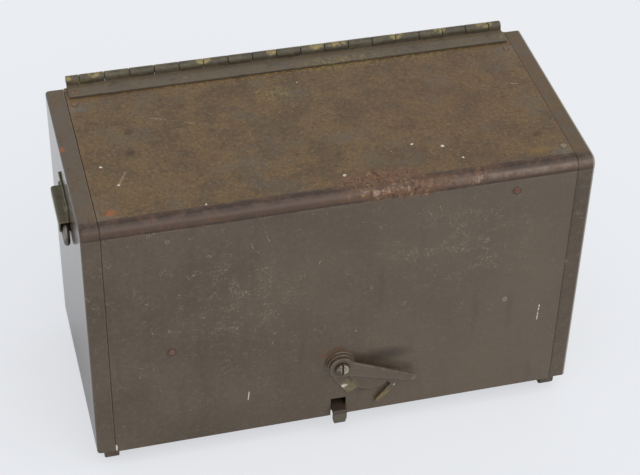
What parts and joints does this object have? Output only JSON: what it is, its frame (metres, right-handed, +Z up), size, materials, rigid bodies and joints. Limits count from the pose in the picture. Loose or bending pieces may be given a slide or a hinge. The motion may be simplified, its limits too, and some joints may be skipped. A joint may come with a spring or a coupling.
{
  "type": "field telephone",
  "caption": "Military field telephone in a painted sheet steel case with piano-hinged lid, turning latch and strap rings; handset, Morse key, buzzer and dry cells inside",
  "frame": {"origin": "on the table plane, below the middle of the case", "axes": "+X to the right seen from the latch side, +Y towards the hinge side, +Z up"},
  "size_m": [0.2648, 0.1267, 0.1645],
  "materials": {
    "olive_paint": "satin, worn, with small chips and rust",
    "bare_steel": "dull zinc plate, lightly stained",
    "brass": "tarnished",
    "black_moulding": "moulded, rubbed on edges",
    "coil_tape": "varnished cotton tape",
    "coil_cheek": "fibre board",
    "card_paper": "plain, aged",
    "cell_wrap": "waxed wrapper",
    "plated_can": "tin plate",
    "gland_rubber": "dull"
  },
  "bodies": {
    "case": {"battery_tray": "olive_paint", "buzzer_coil": "coil_tape", "buzzer_contact": "brass", "buzzer_frame": "bare_steel", "capacitor": "plated_can", "case_shell": "olive_paint", "cell_link": "brass", "cell_terminals": "brass", "cord_gland": "gland_rubber", "ear_cap": "black_moulding", "handset_body": "black_moulding", "hinge_case_leaf": "olive_paint", "hinge_case_rivets": "olive_paint", "hinge_pin": "bare_steel", "induction_coil_frame": "coil_cheek", "induction_coil_winding": "coil_tape", "instrument_panel": "black_moulding", "key_bridge": "brass", "key_contacts": "brass", "key_pivot_pin": "bare_steel", "key_spring": "bare_steel", "left_cradle": "bare_steel", "left_dry_cell": "cell_wrap", "left_end_panel": "olive_paint", "left_runner": "olive_paint", "left_strap_bracket": "olive_paint", "lid_catch": "olive_paint", "mouthpiece": "black_moulding", "panel_screws": "bare_steel", "panel_support": "olive_paint", "partition": "olive_paint", "pressel_pin": "bare_steel", "receiver_capsule": "plated_can", "right_cradle": "bare_steel", "right_dry_cell": "cell_wrap", "right_end_panel": "olive_paint", "right_runner": "olive_paint", "right_strap_bracket": "olive_paint", "strap_bracket_rivets": "olive_paint", "terminal_posts": "brass", "transmitter_capsule": "plated_can"},
    "lid": {"lid_panel": "olive_paint", "hinge_lid_leaf": "olive_paint", "lid_side_strips": "olive_paint", "lid_rivets": "olive_paint", "card_frame": "olive_paint", "blank_card": "card_paper", "latch_base_plate": "olive_paint", "latch_pivot_screw": "bare_steel", "latch_nut": "bare_steel"},
    "latch": {"latch_hook": "olive_paint", "latch_lever": "olive_paint"},
    "left_ring": {"left_strap_ring": "bare_steel"},
    "right_ring": {"right_strap_ring": "bare_steel"},
    "key": {"key_lever": "brass", "key_knob": "black_moulding"},
    "armature": {"buzzer_armature": "bare_steel"},
    "pressel": {"pressel_bar": "black_moulding"},
    "front_nut": {"front_terminal_nut": "brass"},
    "rear_nut": {"rear_terminal_nut": "brass"}
  },
  "joints": [
    {"name": "lid_hinge", "type": "hinge", "parent": "case", "child": "lid", "pos_m": [0, 0.06, 0.162], "axis": [-1, 0, 0], "range_deg": [0, 270]},
    {"name": "latch_turn", "type": "hinge", "parent": "lid", "child": "latch", "pos_m": [0, -0.06, 0.049], "axis": [0, 1, 0], "range_deg": [-30, 45]},
    {"name": "left_ring_swing", "type": "hinge", "parent": "case", "child": "left_ring", "pos_m": [-0.1292, 0, 0.1288], "axis": [0, 1, 0], "range_deg": [0, 160]},
    {"name": "right_ring_swing", "type": "hinge", "parent": "case", "child": "right_ring", "pos_m": [0.1292, 0, 0.1288], "axis": [0, -1, 0], "range_deg": [0, 160]},
    {"name": "key_rock", "type": "hinge", "parent": "case", "child": "key", "pos_m": [-0.062, 0.02975, 0.1325], "axis": [0, -1, 0], "range_deg": [0, 2.5], "stiffness_Nm_per_rad": 0.3, "springref_deg": -5.73},
    {"name": "armature_swing", "type": "hinge", "parent": "case", "child": "armature", "pos_m": [-0.016, 0.02975, 0.1416], "axis": [0, 1, 0], "range_deg": [0, 1.5], "stiffness_Nm_per_rad": 0.1, "springref_deg": -2.86},
    {"name": "pressel_press", "type": "hinge", "parent": "case", "child": "pressel", "pos_m": [0.026, -0.026, 0.133], "axis": [0, 1, 0], "range_deg": [0, 3.2], "stiffness_Nm_per_rad": 0.2, "springref_deg": -8.59},
    {"name": "front_nut_turn", "type": "hinge", "parent": "case", "child": "front_nut", "pos_m": [-0.093, 0.01, 0.126], "axis": [0, 0, 1], "continuous": true},
    {"name": "rear_nut_turn", "type": "hinge", "parent": "case", "child": "rear_nut", "pos_m": [-0.093, 0.0478, 0.126], "axis": [0, 0, 1], "continuous": true}
  ]
}
